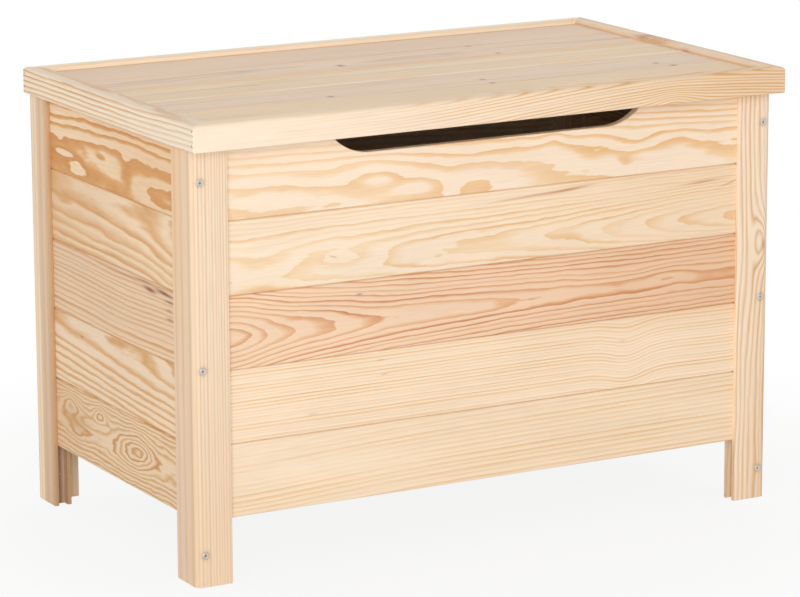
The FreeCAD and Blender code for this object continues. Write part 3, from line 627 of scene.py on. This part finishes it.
POST_SHANK = 2.0
POST_SCREW_LENGTH = 42.7
post_places = []
for x in post_screw_x.values():
    for z in post_screw_z:
        post_places += [(Vector((x, post_screws_low.y, z)), Vector((0, 1, 0))),
                        (Vector((x, post_screws_high.y, z)), Vector((0, -1, 0)))]
screw_set("post_screws", "chest", post_places, POST_HEAD, POST_SHANK, POST_SCREW_LENGTH)

BATTEN_HEAD = 3.4
BATTEN_SHANK = 1.75
LID_SCREW_LENGTH = 21.7
low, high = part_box("lid_batten_screws")
lid_places = []
for x in (low.x + BATTEN_HEAD * MM, high.x - BATTEN_HEAD * MM):
    for y in between(low.y + BATTEN_HEAD * MM, high.y - BATTEN_HEAD * MM, PLANKS):
        lid_places.append((Vector((x, y, low.z)), Vector((0, 0, 1))))
screw_set("lid_batten_screws", "lid", lid_places, BATTEN_HEAD, BATTEN_SHANK, LID_SCREW_LENGTH)

SCREW_SINK = 0.3
BASE_SCREW_FROM_END = 60
BASE_SCREW_LENGTH = 24.7
base_screwing = {
    "front": ("high", Vector((0, -1, 0)), 3), "back": ("low", Vector((0, 1, 0)), 3),
    "left": ("high", Vector((-1, 0, 0)), 2), "right": ("low", Vector((1, 0, 0)), 2),
}
base_places = []
for wall, along in runs:
    inner_face, into, count = base_screwing[wall]
    low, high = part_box("base_batten_" + wall)
    from_end = BASE_SCREW_FROM_END * MM
    for reach in between(low[along] + from_end, high[along] - from_end, count):
        seat = (low + high) / 2
        seat[along] = reach
        seat[1 - along] = (high if inner_face == "high" else low)[1 - along]
        base_places.append((seat + into * SCREW_SINK * MM, into))
screw_set("base_batten_screws", "chest", base_places, BATTEN_HEAD, BATTEN_SHANK, BASE_SCREW_LENGTH)

HINGE_HEAD = 3.0
HINGE_SHANK = 1.5
HINGE_SCREW_LENGTH = 14.0
HINGE_SCREW_SPREAD = 15
for node, body in (("hinge_body_screws", "chest"), ("hinge_lid_screws", "lid")):
    low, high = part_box(node)
    middle = (low.z + high.z) / 2
    hinge_places = []
    for outer, inward in ((low.x + HINGE_HEAD * MM, 1), (high.x - HINGE_HEAD * MM, -1)):
        for x in (outer, outer + inward * HINGE_SCREW_SPREAD * MM):
            hinge_places.append((Vector((x, high.y, middle)), Vector((0, -1, 0))))
    screw_set(node, body, hinge_places, HINGE_HEAD, HINGE_SHANK, HINGE_SCREW_LENGTH)


# Studio: a sheet of matt white paper that keeps the trunk's shadow near it and runs out to plain white, a
# large soft lamp beside the camera, a weaker one behind for the far sides, and a pale even sky.
FLOOR_HALF = 12.0
FLOOR_ROUGHNESS = 0.9
FLOOR_FADE_START = 0.4
FLOOR_FADE_END = 0.9
FLOOR_WHITE_NEAR = 0.88


def seen_plainly(tree):
    """1 for what the camera, a reflection or a see-through surface shows, and 0 for light that falls."""
    rays = add(tree, "LightPath", {})
    seen = add(tree, "Math", {0: rays.outputs["Is Camera Ray"], 1: rays.outputs["Is Glossy Ray"]},
               operation="MAXIMUM")
    return add(tree, "Math", {0: seen.outputs[0], 1: rays.outputs["Is Transmission Ray"]},
               operation="MAXIMUM").outputs[0]


floor_mesh = bpy.data.meshes.new("floor")
floor_mesh.from_pydata([(-FLOOR_HALF, -FLOOR_HALF, 0), (FLOOR_HALF, -FLOOR_HALF, 0),
                        (FLOOR_HALF, FLOOR_HALF, 0), (-FLOOR_HALF, FLOOR_HALF, 0)], [], [(0, 1, 2, 3)])
floor = bpy.data.objects.new("floor", floor_mesh)
bpy.context.scene.collection.objects.link(floor)
paper = bpy.data.materials.new("white_studio_paper")
paper.use_nodes = True
paper_tree = paper.node_tree
paper_shader = paper_tree.nodes["Principled BSDF"]
paper_shader.inputs["Base Color"].default_value = linear("#D4D3D0")
paper_shader.inputs["Roughness"].default_value = FLOOR_ROUGHNESS
paper_place = add(paper_tree, "TexCoord", {})
paper_far = add(paper_tree, "VectorMath", {0: paper_place.outputs["Object"]}, operation="LENGTH")
paper_fade = add(paper_tree, "MapRange", {0: paper_far.outputs["Value"], 1: FLOOR_FADE_START,
                                          2: FLOOR_FADE_END, 3: FLOOR_WHITE_NEAR, 4: 1.0},
                 interpolation_type="SMOOTHSTEP")
white_share = add(paper_tree, "Math", {0: seen_plainly(paper_tree), 1: paper_fade.outputs[0]},
                  operation="MULTIPLY")
white = add(paper_tree, "Emission", {"Color": grey(1.0), "Strength": 1.0})
paper_mix = add(paper_tree, "MixShader", {0: white_share.outputs[0], 1: paper_shader.outputs[0],
                                          2: white.outputs[0]})
paper_tree.links.new(paper_mix.outputs[0], paper_tree.nodes["Material Output"].inputs["Surface"])
floor_mesh.materials.append(paper)

SKY_AT_HORIZON = 0.95
SKY_OVERHEAD = 0.4
sky = bpy.data.worlds.new("pale_studio")
sky.use_nodes = True
sky_tree = sky.node_tree
sky_place = add(sky_tree, "TexCoord", {})
sky_height = add(sky_tree, "SeparateXYZ", {0: sky_place.outputs["Generated"]})
sky_light = add(sky_tree, "MapRange", {0: sky_height.outputs[2], 3: SKY_AT_HORIZON, 4: SKY_OVERHEAD})
sky_level = add(sky_tree, "MapRange", {0: seen_plainly(sky_tree), 3: sky_light.outputs[0], 4: 1.0})
sky_glow = sky_tree.nodes["Background"]
sky_tree.links.new(sky_level.outputs[0], sky_glow.inputs["Strength"])
sky_glow.inputs["Color"].default_value = grey(1.0)
bpy.context.scene.world = sky

TRUNK_MIDDLE = (cad_box[0] + cad_box[1]) / 2
# Name, place in m, size in m and power in W
softboxes = (("key_softbox", (-2.55, -3.6, 1.3), 2.8, 90.0), ("back_softbox", (1.6, 2.2, 3.4), 2.4, 24.0))
for name, position, size, power in softboxes:
    lamp = bpy.data.lights.new(name, "AREA")
    lamp.size = size
    lamp.energy = power
    holder = bpy.data.objects.new(name, lamp)
    holder.location = position
    holder.rotation_euler = (TRUNK_MIDDLE - Vector(position)).to_track_quat("-Z", "Y").to_euler()
    holder.visible_camera = False
    bpy.context.scene.collection.objects.link(holder)
bpy.context.scene.view_settings.view_transform = "Standard"


# Camera: a long lens at about chest height, to the left of the trunk's front. Its place was found from
# the corners of the trunk, so that they fall where the photograph shows them.
CAMERA_PLACE = (-2.1909, -3.93055, 1.2753)
CAMERA_YAW = math.radians(29.092)
CAMERA_PITCH = math.radians(12.854)
CAMERA_ROLL = math.radians(-0.231)
CAMERA_LENS = 172.67
SENSOR_WIDTH = 36.0
camera = bpy.data.cameras.new("camera")
camera.lens = CAMERA_LENS
camera.sensor_width = SENSOR_WIDTH
camera_holder = bpy.data.objects.new("camera", camera)
camera_holder.matrix_world = (Matrix.Translation(CAMERA_PLACE) @ Matrix.Rotation(-CAMERA_YAW, 4, "Z")
                              @ Matrix.Rotation(math.pi / 2 - CAMERA_PITCH, 4, "X")
                              @ Matrix.Rotation(CAMERA_ROLL, 4, "Z"))
bpy.context.scene.collection.objects.link(camera_holder)
bpy.context.scene.camera = camera_holder
